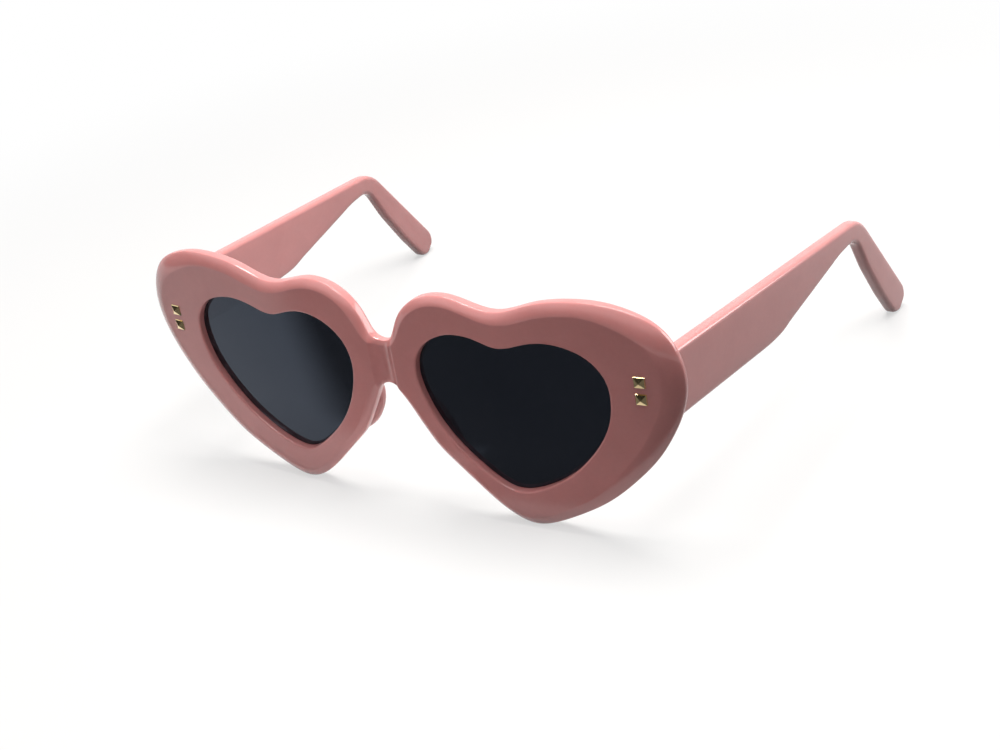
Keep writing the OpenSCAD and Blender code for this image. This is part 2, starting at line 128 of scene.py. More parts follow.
# Half of the outer outline and the left opening as x and z, from the level of the lens centres
HEART_C = np.array([34.0, -2.0])
HEART_TIP_Z = -36.6
HALF_OUTLINE = [
    (0, 8.2), (2.7, 9.2), (5.2, 14.2), (9.2, 19), (14.4, 21.5), (20.3, 21.8), (26, 20.3),
    (32, 19.4), (38, 21), (43, 22.6), (49, 23.5), (56, 23.6), (63, 22.2), (69.8, 18.7),
    (73.9, 12.6), (75, 5.4), (73.4, -2), (70.4, -8.4), (67, -13.8), (63, -18.5),
    (54.5, -26.4), (45, -32.4), (39.6, -35.1), (34, HEART_TIP_Z), (28.6, -34.9), (23.6, -31.1),
    (19.4, -27), (14.9, -22.5), (11.2, -18.6), (8.6, -14.6), (6, -9.9), (3.7, -5.6),
    (2.1, -3.5), (0, -2.8)]
OPENING = [
    (58.4, 2.3), (57.5, 6.6), (54.9, 10.1), (51, 12.4), (45, 13.6), (39.4, 12.9),
    (34.6, 11.4), (31, 11.2), (25.4, 12.9), (18.6, 12.8), (13.2, 10), (10.2, 6.1), (9.3, 1.5),
    (10.1, -3.6), (12.5, -9.8), (16.9, -16.4), (22.5, -22), (27.4, -25.7), (31.6, -27),
    (38.1, -25.2), (45, -21), (50.5, -15.8), (55, -9.8), (57.6, -4)]

front_low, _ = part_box("front_frame")
FACE_Y = front_low.y / MM                 # the plane of the hearts' crests in the frame
LEVEL_Z = front_low.z / MM - HEART_TIP_Z  # the level of the lens centres in the frame


# Curves


def ease(t):
    """A smooth step from 0 to 1."""
    t = np.clip(t, 0, 1)
    return t * t * (3 - 2 * t)


def quarter(steps):
    """Sines and cosines of even steps from 0 to 90 degrees."""
    return [(math.sin(a), math.cos(a)) for a in np.radians(np.linspace(0, 90, steps))]


def spline_bends(p, h):
    """Second derivatives at the points p of the closed cubic spline with knots h apart."""
    n = len(p)
    matrix = np.zeros((n, n))
    turns = np.zeros((n, 2))
    for i in range(n):
        a, b = h[i - 1], h[i]
        after = (i + 1) % n
        matrix[i, i - 1] += a / 6
        matrix[i, i] += (a + b) / 3
        matrix[i, after] += b / 6
        turns[i] = (p[after] - p[i]) / b - (p[i] - p[i - 1]) / a
    return np.linalg.solve(matrix, turns)


def smooth_closed(points, count, blur):
    """Evenly spaced points of a closed smooth curve through points, and its direction in each."""
    p = np.array(points, float)
    h = np.sqrt(np.linalg.norm(np.roll(p, -1, 0) - p, axis=1))
    bend = spline_bends(p, h)
    t = np.linspace(0, 1, SPLINE_STEPS, endpoint=False)[:, None]
    dense = []
    for i, w in enumerate(h):
        j = (i + 1) % len(p)
        dense.append((1 - t) * p[i] + t * p[j] - w * w / 6 * (
            (1 - t) * (1 - (1 - t) ** 2) * bend[i] + t * (1 - t * t) * bend[j]))
    dense = np.vstack(dense)
    for _ in range(2):
        step = np.linalg.norm(np.roll(dense, -1, 0) - dense, axis=1)
        length = np.concatenate([[0], np.cumsum(step)])
        at = np.linspace(0, length[-1], count, endpoint=False)
        loop = np.vstack([dense, dense[:1]])
        dense = np.stack([np.interp(at, length, loop[:, c]) for c in (0, 1)], 1)
        z = np.fft.fft(dense[:, 0] + 1j * dense[:, 1])
        wave = 2 * np.pi * np.fft.fftfreq(count) * count / length[-1]
        z *= np.exp(-(wave * blur) ** 2 / 4)
        flat = np.fft.ifft(z)
        dense = np.stack([flat.real, flat.imag], 1)
    slope = np.fft.ifft(z * 1j * wave)
    way = np.stack([slope.real, slope.imag], 1)
    return dense, way / np.linalg.norm(way, axis=1)[:, None]


def dome(x, z, d):
    """Distance behind the front's crest of the surface that lies d below its face."""
    return DOME_R - np.sqrt((DOME_R - d) ** 2 - x * x - (z - DOME_Z) ** 2)


SCOOP_R = (SCOOP_W ** 2 + SCOOP_D ** 2) / (2 * SCOOP_D)


def scoop(x):
    """Depth of the scoop across the bridge, with its two edges just broken."""
    near = np.minimum(np.abs(x), SCOOP_R * NEARLY)
    f = np.sqrt(SCOOP_R ** 2 - near ** 2) - SCOOP_R + SCOOP_D
    f = f - np.maximum(0, np.abs(x) - SCOOP_R * NEARLY)
    return (f + np.sqrt(f * f + SCOOP_SOFT ** 2)) / 2 * ease((SCOOP_END - np.abs(x)) / SCOOP_FADE)


def ring(plan, depth):
    """Points of the plan at a depth below the front's face, in the frame's millimetres."""
    x, z = plan.T
    d = np.broadcast_to(depth, len(plan)).astype(float)
    y = dome(x, z, d) + scoop(x) * np.maximum(0, 1 - 2 * d / FRONT_T)
    return np.stack([x, y + FACE_Y, z + LEVEL_Z], -1)


# The outline of the left half and its outward normals, closer together round the bridge. The cut
# between the halves closes it.
full = HALF_OUTLINE + [(-x, z) for x, z in HALF_OUTLINE[-2:0:-1]]
curve, way = smooth_closed(full, OUTLINE_COUNT, OUTLINE_BLUR)
half = np.arange(0, OUTLINE_COUNT // 2 + 1)
edge_all = curve[half]
edge_all[[0, -1], 0] = 0
norm_all = np.stack([-way[half][:, 1], way[half][:, 0]], 1)
norm_all[[0, -1], 0] = 0
density = 1 + BRIDGE_CROWD * np.exp(-(edge_all[:, 0] / BRIDGE_REACH) ** 2)
gather = np.concatenate([[0], np.cumsum((density[1:] + density[:-1]) / 2)])
pick = np.searchsorted(gather, np.linspace(0, gather[-1], EDGE_COUNT))
pick = np.unique(np.clip(pick, 0, half[-1]))
edge_p, edge_n = edge_all[pick], norm_all[pick]
top_z, low_z = edge_p[0, 1], edge_p[-1, 1]
cut_z = np.linspace(low_z + EDGE_WIDTHS[0], top_z - EDGE_WIDTHS[0], CUT_COUNT + 2)[1:-1]
out_p = np.vstack([edge_p, np.stack([0 * cut_z, cut_z], 1)])
out_n = np.vstack([edge_n, np.stack([0 * cut_z - 1, 0 * cut_z], 1)])
is_cut = np.arange(len(out_p)) >= len(edge_p)


def angle_of(points):
    """Direction of points from the heart's centre."""
    return np.arctan2(*(points - HEART_C).T[::-1])


# The lens opening by angle round the heart's centre
open_p, open_way = smooth_closed(OPENING, OPENING_COUNT, OPENING_BLUR)
open_a = np.unwrap(angle_of(open_p))
order = slice(None, None, -1) if open_a[0] > open_a[-1] else slice(None)
open_a, open_p, open_way = open_a[order], open_p[order], open_way[order]
open_n = np.stack([open_way[:, 1], -open_way[:, 0]], 1)
open_n *= np.sign(np.sum(open_n * (open_p - HEART_C), 1))[:, None]


def rim(points):
    """Where the spoke to each point crosses the opening, and the opening's outward normal."""
    a = open_a[0] + np.mod(angle_of(points) - open_a[0], 2 * np.pi)
    turn = np.concatenate([open_a, [open_a[0] + 2 * np.pi]])
    x, z, nx, nz = (np.interp(a, turn, np.append(v, v[0])) for v in (*open_p.T, *open_n.T))
    n = np.stack([nx, nz], 1)
    return np.stack([x, z], 1), n / np.linalg.norm(n, axis=1)[:, None]


# Meshes


def placed(name, data):
    """A new object of the data, in the scene."""
    obj = bpy.data.objects.new(name, data)
    bpy.context.scene.collection.objects.link(obj)
    return obj


def mesh_from(name, bm):
    mesh = bpy.data.meshes.new(name)
    bm.to_mesh(mesh)
    bm.free()
    return mesh


def shade(mesh, angle):
    """Smooth shading, with the edges sharp that turn by more than the angle."""
    for f in mesh.polygons:
        f.use_smooth = True
    mesh.set_sharp_from_angle(angle=math.radians(angle))


def piece(name, bm, finish, body, nodes, angle=SHARP):
    """A finished piece that rides on a body and takes the place of its nodes."""
    bmesh.ops.remove_doubles(bm, verts=bm.verts, dist=SAME_PLACE)
    bmesh.ops.dissolve_degenerate(bm, edges=bm.edges, dist=NO_LENGTH)
    bmesh.ops.recalc_face_normals(bm, faces=bm.faces)
    mesh = mesh_from(name, bm)
    shade(mesh, angle)
    mesh.materials.append(finish)
    obj = placed(name, mesh)
    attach(obj, body)
    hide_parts(*nodes)
    return obj


BOX_SIDES = ((0, 1, 3, 2), (4, 6, 7, 5), (0, 4, 5, 1), (2, 3, 7, 6), (0, 2, 6, 4), (1, 5, 7, 3))


def cut(obj, boxes):
    """Cuts boxes, each eight corners in the frame's millimetres, out of a piece."""
    bm = bmesh.new()
    for box in boxes:
        v = [bm.verts.new(Vector(p) * MM) for p in box]
        for f in BOX_SIDES:
            bm.faces.new([v[i] for i in f])
    bmesh.ops.recalc_face_normals(bm, faces=bm.faces)
    tool = placed("tool", mesh_from("tool", bm))
    mod = obj.modifiers.new("pockets", "BOOLEAN")
    mod.operation = "DIFFERENCE"
    mod.solver = "EXACT"
    mod.object = tool
    done = bpy.data.meshes.new_from_object(obj.evaluated_get(bpy.context.evaluated_depsgraph_get()))
    obj.modifiers.clear()
    obj.data = done
    bpy.data.objects.remove(tool)
    shade(done, SHARP)


def corners(frame_of, low, high, side):
    """The eight corners of a box given in a stud pair's or a hinge's frame."""
    out = []
    for x in (low[0], high[0]):
        for y in (low[1], high[1]):
            for z in (low[2], high[2]):
                p = frame_of(x, y, z)
                out.append((side * p[0], p[1], p[2]))
    return out


def add_grid(bm, grid, close_i=True, skip=None, mirror=1):
    """Quads through a grid [i, j, xyz] of the frame's millimetres, which is closed along j."""
    rows, columns = grid.shape[:2]
    verts = [[bm.verts.new((mirror * x * MM, y * MM, z * MM)) for x, y, z in row] for row in grid]
    for i in range(rows if close_i else rows - 1):
        here, ahead = verts[i], verts[(i + 1) % rows]
        for j in range(columns):
            k = (j + 1) % columns
            four = [here[j], here[k], ahead[k], ahead[j]]
            if not (skip and skip(four)):
                bm.faces.new(four)
    return verts


def tube(rows, mirror):
    """A closed bar through rings in the frame's millimetres."""
    bm = bmesh.new()
    verts = add_grid(bm, np.array(rows), close_i=False, mirror=mirror)
    for row in (verts[0], verts[-1]):
        bm.faces.new(row)
    return bm


# Materials

WHITE = (1, 1, 1, 1)
BLACK = (0, 0, 0, 1)


def grey(value):
    return (value, value, value)


def material(name):
    made = bpy.data.materials.new(name)
    made.use_nodes = True
    return made, made.node_tree, made.node_tree.nodes["Principled BSDF"]


def set_inputs(target, values):
    for name, value in values.items():
        target.inputs[name].default_value = value


def node(tree, kind, inputs=None, **props):
    made = tree.nodes.new(kind)
    for name, value in props.items():
        setattr(made, name, value)
    set_inputs(made, inputs or {})
    return made


def link(tree, source, out, target, into):
    tree.links.new(source.outputs[out], target.inputs[into])


def ramp(tree, source, out, stops):
    """The colours of the stops, by a value."""
    made = node(tree, "ShaderNodeValToRGB")
    elements = made.color_ramp.elements
    while len(elements) < len(stops):
        elements.new(0.5)
    for element, (at, colour) in zip(elements, stops):
        element.position = at
        element.color = (*colour, 1)
    link(tree, source, out, made, "Fac")
    return made


def noise(tree, scale, detail, stretch=(1, 1, 1), turn=(0, 0, 0), **inputs):
    """Noise on the object's own coordinates."""
    place = node(tree, "ShaderNodeTexCoord")
    mapping = node(tree, "ShaderNodeMapping", {"Scale": stretch, "Rotation": turn})
    link(tree, place, "Object", mapping, "Vector")
    made = node(tree, "ShaderNodeTexNoise", {"Scale": scale, "Detail": detail, **inputs})
    link(tree, mapping, "Vector", made, "Vector")
    return made


def bump(tree, height, strength, distance, under=None):
    made = node(tree, "ShaderNodeBump", {"Strength": strength, "Distance": distance})
    link(tree, height, "Fac", made, "Height")
    if under:
        link(tree, under, "Normal", made, "Normal")
    return made


def acetate():
    """Pink acetate: a faint cloud in the colour, uneven polish, orange peel and fine scratches."""
    made, tree, shader = material("pink_acetate")
    wide = noise(tree, scale=70.0, detail=3.0, Distortion=0.6)
    tone = ramp(tree, wide, "Fac", [(0.3, (0.445, 0.181, 0.177)), (0.7, (0.475, 0.197, 0.192))])
    fine = noise(tree, scale=900.0, detail=4.0, Roughness=0.6)
    cloud = ramp(tree, fine, "Fac", [(0.35, grey(0.98)), (0.7, grey(1.01))])
    clouded = node(tree, "ShaderNodeMix", {"Factor": 1.0}, data_type="RGBA", blend_type="MULTIPLY")
    link(tree, tone, "Color", clouded, "A")
    link(tree, cloud, "Color", clouded, "B")
    link(tree, clouded, "Result", shader, "Base Color")
    smear = noise(tree, scale=160.0, detail=5.0, stretch=(1, 3, 1), turn=(0.3, 0.1, 0.6))
    polish = ramp(tree, smear, "Fac", [(0.3, grey(0.1)), (0.75, grey(0.16))])
    link(tree, polish, "Color", shader, "Roughness")
    peel = bump(tree, noise(tree, scale=260.0, detail=2.0), strength=0.05, distance=0.00005)
    scratch = noise(tree, scale=1500.0, detail=2.0, stretch=(1, 0.04, 0.3), turn=(0.2, 0.5, 0.4))
    scratched = bump(tree, scratch, strength=0.02, distance=0.00001, under=peel)
    link(tree, scratched, "Normal", shader, "Normal")
    set_inputs(shader, {"IOR": 1.48, "Coat Weight": 0.12, "Coat Roughness": 0.04,
                        "Subsurface Weight": 0.2, "Subsurface Radius": (1.0, 0.4, 0.35),
                        "Subsurface Scale": 0.0012})
    return made


def smoke():
    """Dark smoke of the lenses, which lets a little light through, with faint wipe marks."""
    made, tree, shader = material("smoke_lens")
    cast = noise(tree, scale=35.0, detail=2.0)
    tint = ramp(tree, cast, "Fac", [(0.3, (0.0055, 0.0062, 0.0085)), (0.7, (0.0075, 0.0082, 0.0108))])
    link(tree, tint, "Color", shader, "Base Color")
    wipe = noise(tree, scale=120.0, detail=6.0, stretch=(1, 1, 4), turn=(0, 0.6, 0))
    haze = ramp(tree, wipe, "Fac", [(0.3, grey(0.02)), (0.8, grey(0.05))])
    link(tree, haze, "Color", shader, "Roughness")
    set_inputs(shader, {"IOR": 1.6, "Specular Tint": (0.35, 0.5, 0.78, 1), "Transmission Weight": 0.9})
    return made


def metal(name, dark, light, rough, scale, brushed):
    """A metal between two tones, with a grain that may be stretched along a brushed direction."""
    made, tree, shader = material(name)
    set_inputs(shader, {"Metallic": 1.0})
    grain = noise(tree, scale=scale, detail=4.0, stretch=brushed)
    tone = ramp(tree, grain, "Fac", [(0.3, dark), (0.7, light)])
    link(tree, tone, "Color", shader, "Base Color")
    polish = ramp(tree, grain, "Fac", [(0.3, grey(rough * 0.8)), (0.7, grey(rough * 1.3))])
    link(tree, polish, "Color", shader, "Roughness")
    link(tree, bump(tree, grain, strength=0.15, distance=0.00002), "Normal", shader, "Normal")
    return made


PINK = acetate()
SMOKE = smoke()
GOLD = metal("gold_plate", (0.84, 0.64, 0.34), (0.94, 0.76, 0.44), 0.12, 1400.0, (1, 1, 1))
STEEL = metal("hinge_steel", (0.5, 0.5, 0.5), (0.68, 0.68, 0.69), 0.3, 2500.0, (1, 1, 0.06))


# The front: both hearts and the bridge in one skin

groove_0 = LENS_DEPTH + (LENS_T - GROOVE_W) / 2
groove_1 = groove_0 + GROOVE_W


def along_edge(x, sizes):
    """The bevel's size at each x, which goes smoothly from each of the sizes to the next."""
    size = sizes[0] + 0 * x
    for (start, length), before, after in zip(EDGE_BLENDS, sizes, sizes[1:]):
        size = size + (after - before) * ease((x - start) / length)
    return size


def front_rings():
    """Rings from the back edge of the opening through its groove, over the lip and the face to the
    bevel, and along the back."""
    rim_p, rim_n = rim(out_p)
    wide = along_edge(out_p[:, 0], EDGE_WIDTHS)
    deep = along_edge(out_p[:, 0], EDGE_DEPTHS)
    back = np.full(len(out_p), float(BACK_R))
    wide[is_cut] = deep[is_cut] = back[is_cut] = 0
    wall = [(RIM_R, FRONT_T), (RIM_MID, FRONT_T - RIM_MID), (0, FRONT_T - RIM_R), (0, groove_1),
            (GROOVE_D, groove_1), (GROOVE_D, groove_0), (0, groove_0)]
    wall += [(0, depth) for depth in WALL_DEPTHS]
    wall += [(LIP_R * (1 - c), LIP_R * (1 - s)) for s, c in quarter(LIP_STEPS)]
    rings = [ring(rim_p + off * rim_n, depth) for off, depth in wall]
    start = rim_p + LIP_R * rim_n
    face_end = out_p - wide[:, None] * out_n
    for f in np.linspace(0, 1, FACE_STEPS)[1:-1]:
        rings.append(ring(start + f * (face_end - start), 0))
    crown = 2 / EDGE_CROWN
    for s, c in quarter(BEVEL_STEPS):
        inset = wide * (1 - s ** crown)
        rings.append(ring(out_p - inset[:, None] * out_n, deep * (1 - c ** crown)))
    for s, c in quarter(BACK_STEPS):
        inset = back * (1 - c)
        rings.append(ring(out_p - inset[:, None] * out_n, FRONT_T - back * (1 - s)))
    back_end = out_p - back[:, None] * out_n
    behind = rim_p + RIM_R * rim_n
    for f in BACK_SHARES:
        rings.append(ring(back_end + f * (behind - back_end), FRONT_T))
    return rings


def in_middle(four):
    return all(abs(v.co.x) < IN_MIDDLE for v in four)


def make_front():
    grid = np.stack(front_rings(), 1)
    bm = bmesh.new()
    for side in (1, -1):
        add_grid(bm, grid, skip=in_middle, mirror=side)
    return piece("acetate_front", bm, PINK, "front", ["front_frame"])


front = make_front()


# The lenses

spokes = np.linspace(0, 2 * np.pi, LENS_COUNT, endpoint=False)
lens_p, lens_n = rim(HEART_C + np.stack([np.cos(spokes), np.sin(spokes)], 1))


def lens_ring(share, off, d):
    """The opening's outline, moved out by off and shrunk to a share, d below the front's face."""
    p = HEART_C + share * (lens_p + off * lens_n - HEART_C)
    y = dome(p[:, 0], p[:, 1], d)
    return np.stack([p[:, 0], y + FACE_Y, p[:, 1] + LEVEL_Z], -1)


def make_lens(name, side):
    body, flange = -LENS_PLAY, GROOVE_D - LENS_PLAY
    back = LENS_DEPTH + LENS_T
    rows = [lens_ring(f, body - LENS_IN, LENS_DEPTH) for f in np.linspace(LENS_HUB, 1, LENS_RINGS)]
    rows += [lens_ring(1, off, d) for off, d in (
        (body - LENS_MID, LENS_DEPTH + LENS_MID), (body, LENS_DEPTH + LENS_DOWN),
        (body, groove_0 + LENS_PLAY), (flange, groove_0 + LENS_PLAY), (flange, groove_1 - LENS_PLAY),
        (body, groove_1 - LENS_PLAY), (body, back - LENS_DOWN))]
    rows += [lens_ring(f, body - LENS_DOWN, back) for f in np.linspace(1, LENS_HUB, LENS_RINGS)]
    bm = bmesh.new()
    verts = add_grid(bm, np.stack(rows), close_i=False, mirror=side)
    for row in (verts[0], verts[-1]):
        mid = bm.verts.new(sum((v.co for v in row), Vector()) / len(row))
        for j in range(len(row)):
            bm.faces.new((row[j], row[(j + 1) % len(row)], mid))
    return piece(name, bm, SMOKE, "front", [name.replace("smoke_", "")], LENS_SHARP)


make_lens("smoke_left_lens", 1)
make_lens("smoke_right_lens", -1)


# The nose pads


def rounder(value, power):
    """A sine or cosine, brought nearer to a square's with a power below 1."""
    return math.copysign(abs(value) ** power, value)


def make_pad(name, side):
    """A pad along its line on the front's back, round at both ends and leaning outwards."""
    u = np.linspace(-1, 1, PAD_RINGS)
    t = (u + 1) / 2
    knee = 2 * PAD_LINE[1] - (PAD_LINE[0] + PAD_LINE[2]) / 2
    line = ((1 - t) ** 2)[:, None] * PAD_LINE[0] + (2 * t * (1 - t))[:, None] * knee + (
        t ** 2)[:, None] * PAD_LINE[2]
    way = np.gradient(line[:, :2], axis=0)
    way /= np.linalg.norm(way, axis=1)[:, None]
    line[:, :2] += (u ** 3)[:, None] * way * PAD_STRETCH
    end = np.sqrt(np.clip(1 - np.abs(u) ** PAD_END_POWER, 0, 1))
    rows = []
    for i in range(PAD_RINGS):
        across = np.array([way[i, 1], -way[i, 0]])
        row = []
        for v in np.linspace(0, 2 * np.pi, PAD_SIDES, endpoint=False):
            c = rounder(math.cos(v), PAD_SIDE_POWER)
            s = rounder(math.sin(v), PAD_SIDE_POWER)
            up = PAD_MID + PAD_UP * s * end[i] if s > 0 else PAD_MID + PAD_DOWN * s
            w = line[i, 2] * end[i] * (1 if s < 0 else 1 - PAD_TAPER * s * s)
            x, z = line[i, :2] + across * c * w
            lean = PAD_LEAN * max(0, s)
            row.append([x + lean, dome(x, z, FRONT_T) + FACE_Y + up, z + LEVEL_Z])
        rows.append(row)
    return piece(name, tube(rows, side), PINK, "front", [name.replace("acetate_", "")],
                 PAD_SHARP)


make_pad("acetate_left_nose_pad", 1)
make_pad("acetate_right_nose_pad", -1)


# The frames of a stud pair and of a hinge, and the pockets in the front

TILT = math.asin(STUD_X / DOME_R)
SPLAY, SLOPE, BEND = (math.radians(a) for a in (SPLAY_A, SLOPE_A, BEND_A))
AXIS_V = FRONT_T + LEAF_T + BARREL_R + BARREL_OFF
stud_y = float(dome(STUD_X, HINGE_Z, 0))
hinge_x = STUD_X + AXIS_U * math.cos(TILT) - AXIS_V * math.sin(TILT)
hinge_y = stud_y + AXIS_U * math.sin(TILT) + AXIS_V * math.cos(TILT)


def stud_frame(u, v, w):
    """The frame's millimetres of a point in the frame of a stud pair, with v into the front."""
    return np.stack([STUD_X + u * math.cos(TILT) - v * math.sin(TILT),
                     stud_y + u * math.sin(TILT) + v * math.cos(TILT) + FACE_Y,
                     w + HINGE_Z + LEVEL_Z], -1)


def hinge_frame(x, y, z):
    """The frame's millimetres of a point in a hinge's frame, with y along the temple."""
    return np.stack([hinge_x + x * math.cos(SPLAY) + y * math.sin(SPLAY),
                     hinge_y - x * math.sin(SPLAY) + y * math.cos(SPLAY) + FACE_Y,
                     z + HINGE_Z + LEVEL_Z], -1)


def front_pockets():
    """Boxes for the rivet heads and the hinge leaves, a hair wider than these."""
    seat, half_leaf = STUD_W / 2 + HAIR, LEAF_BARRELS * BARREL_H + HAIR
    boxes = []
    for side in (1, -1):
        for z in (-STUD_PITCH / 2, STUD_PITCH / 2):
            boxes.append(corners(stud_frame, (-seat, -OVER, z - seat), (seat, STUD_SINK, z + seat), side))
        boxes.append(corners(stud_frame, (LEAF_U - HAIR, FRONT_T - LEAF_SINK, -half_leaf),
                             (LEAF_U + LEAF_W + HAIR, FRONT_T + 2 * OVER, half_leaf), side))
    return boxes


cut(front, front_pockets())


# The temples, each round a line along its upper edge, which starts a little ahead of the hinge's axis

bend_l = BEND_R * BEND
end_a = SLOPE + BEND
paddle_r = PADDLE_H / 2
bend_end_z = START_Z - STRAIGHT_L * math.sin(SLOPE) - BEND_R * (math.cos(SLOPE) - math.cos(end_a))
tip_z = HEART_TIP_Z - HINGE_Z + paddle_r
paddle_l = (bend_end_z - paddle_r * math.cos(end_a) - tip_z) / math.sin(end_a)
bend_end = STRAIGHT_L + bend_l
temple_l = bend_end + paddle_l + paddle_r - TIP_TRIM


def softened(values):
    """Values along a temple's line, blurred."""
    reach = round(BLUR_REACH * SOFTNESS / RUN_STEP)
    w = np.exp(-(np.arange(-reach, reach + 1) * RUN_STEP / SOFTNESS) ** 2 / 2)
    return np.convolve(np.pad(values, reach, mode="edge"), w / w.sum(), "valid")


run = np.arange(-RUN_OUT, temple_l + RUN_OUT, RUN_STEP)
run_angle = softened(SLOPE + BEND * np.clip((run - STRAIGHT_L) / bend_l, 0, 1))
sum_y = np.concatenate([[0], np.cumsum(np.cos(run_angle[:-1]) * RUN_STEP)])
sum_z = -np.concatenate([[0], np.cumsum(np.sin(run_angle[:-1]) * RUN_STEP)])
run_y = START_Y + sum_y - np.interp(0, run, sum_y)
run_z = START_Z + sum_z - np.interp(0, run, sum_z)
heights = np.array([                # lengths along the line, and the height there
    (0, TEMPLE_H), (TALL_L - 8, TEMPLE_H - 0.4), (TALL_L - 3, TEMPLE_H - 0.8),
    (TALL_L, TEMPLE_H - 1.3), (TALL_L + 3, TEMPLE_H - 2.4), (STRAIGHT_L - 13, NECK_H + 2.7),
    (STRAIGHT_L - 7, NECK_H + 1), (STRAIGHT_L, NECK_H), (bend_end, NECK_H + 0.5),
    (bend_end + 10, PADDLE_H - 1), (temple_l - 14, PADDLE_H)])
run_height = softened(np.interp(run, heights[:, 0], heights[:, 1]))
stops = np.concatenate([
    np.linspace(0, BUTT_L, BUTT_RINGS),
    np.arange(BUTT_L + BUTT_STEP, TALL_L - TURN_REACH, TALL_STEP),
    np.arange(TALL_L - TURN_REACH, TALL_L + TURN_REACH, TURN_STEP),
    np.arange(TALL_L + TURN_REACH, STRAIGHT_L - TURN_REACH, NECK_STEP),
    np.arange(STRAIGHT_L - TURN_REACH, bend_end + TURN_REACH, TURN_STEP),
    np.arange(bend_end + TURN_REACH, temple_l - paddle_r, NECK_STEP),
    temple_l - paddle_r * (1 - np.sin(np.radians(np.linspace(TIP_FROM, TIP_TO, TIP_RINGS))))])


def bar(a, b, r):
    """Cross-section of a bar with half sizes a and b and its edges rounded by r, as (sideways, up)."""
    q = min(r, b * CORNER_SHARE, a * CORNER_SHARE)
    points = []
    for sx, sy, start in ((1, 1, 0), (-1, 1, 90), (-1, -1, 180), (1, -1, 270)):
        for t in np.linspace(0, 90, CORNER_POINTS):
            g = math.radians(start + t)
            points.append((sx * (a - q) + q * math.cos(g), sy * (b - q) + q * math.sin(g)))
    out = []
    for i, p in enumerate(points):       # extra points along the four flats
        n = points[(i + 1) % len(points)]
        out.append(p)
        if (i + 1) % CORNER_POINTS == 0:
            for f in FLAT_SHARES:
                out.append((p[0] + f * (n[0] - p[0]), p[1] + f * (n[1] - p[1])))
    return np.array(out)


def butt_y(x):
    """Where the butt plane lies at sideways position x, in the hinge's frame."""
    base = -(hinge_x + x * math.cos(SPLAY) - STUD_X) * math.sin(TILT) + (
        hinge_y - x * math.sin(SPLAY) - stud_y) * math.cos(TILT)
    rate = -math.sin(SPLAY) * math.sin(TILT) + math.cos(SPLAY) * math.cos(TILT)
    return (FRONT_T + BUTT_GAP - base) / rate


def temple_ring(s):
    """The cross-section at length s, which shrinks in the paddle's round end and at the edges of its
    tip, and leans towards the butt plane at the hinge."""
    left = temple_l - s
    cap = 1 if left > paddle_r else math.sqrt(max(0, 1 - ((paddle_r - left) / paddle_r) ** 2))
    thin = 1
    if left < TEMPLE_R:
        taken = TEMPLE_R - math.sqrt(max(0, TEMPLE_R ** 2 - (TEMPLE_R - left) ** 2))
        thin = 1 - taken / (TEMPLE_T / 2)
    height = np.interp(s, run, run_height)
    section = bar(TEMPLE_T / 2 * thin, height / 2 * cap, TEMPLE_R)
    x = AXIS_IN + TEMPLE_T / 2 + section[:, 0]
    below = height / 2 - section[:, 1]
    a = np.interp(s, run, run_angle)
    y = np.interp(s, run, run_y) - below * math.sin(a)
    z = np.interp(s, run, run_z) - below * math.cos(a)
    if s <= BUTT_L:
        square_y = np.interp(BUTT_L, run, run_y) - below * math.sin(a)
        y = butt_y(x) + (square_y - butt_y(x)) * s / BUTT_L
        z = np.interp(y + below * math.sin(a), run_y, run_z) - below * math.cos(a)
    return hinge_frame(x, y, z)


def make_temple(name, side, body):
    first, *rest = [temple_ring(s) for s in stops]
    away = first - first.mean(0)
    out = away / np.linalg.norm(away[:, [0, 2]], axis=1)[:, None]
    butt = [first - out * inset + (0, ahead, 0) for inset, ahead in BUTT_ROUND]
    bm = tube(butt + rest, side)
    obj = piece(name, bm, PINK, body, [name.replace("acetate_", "")])
    half_plate = PLATE_BARRELS * BARREL_H + HAIR
    cut(obj, [corners(hinge_frame, (AXIS_IN - OVER, PLATE_Y - HAIR, -half_plate),
                      (AXIS_IN + LEAF_T, PLATE_Y + PLATE_L + HAIR, half_plate), side)])


make_temple("acetate_left_temple", 1, "left_temple")
make_temple("acetate_right_temple", -1, "right_temple")


# Finishes of the construction's nodes. The small metal parts keep their shape, with broken edges.


def finish_of(name):
    if "stud" in name:
        return GOLD
    if "hinge" in name or "wire" in name:
        return STEEL
    return SMOKE if "lens" in name else PINK


for name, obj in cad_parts.items():
    obj.data.materials.clear()
    obj.data.materials.append(finish_of(name))
    if "stud" in name or "hinge" in name:
        soft = obj.modifiers.new("broken_edges", "BEVEL")
        soft.width = BROKEN_EDGE * MM
        soft.segments = 2
        soft.limit_method = "ANGLE"
        soft.angle_limit = math.radians(METAL_SHARP)
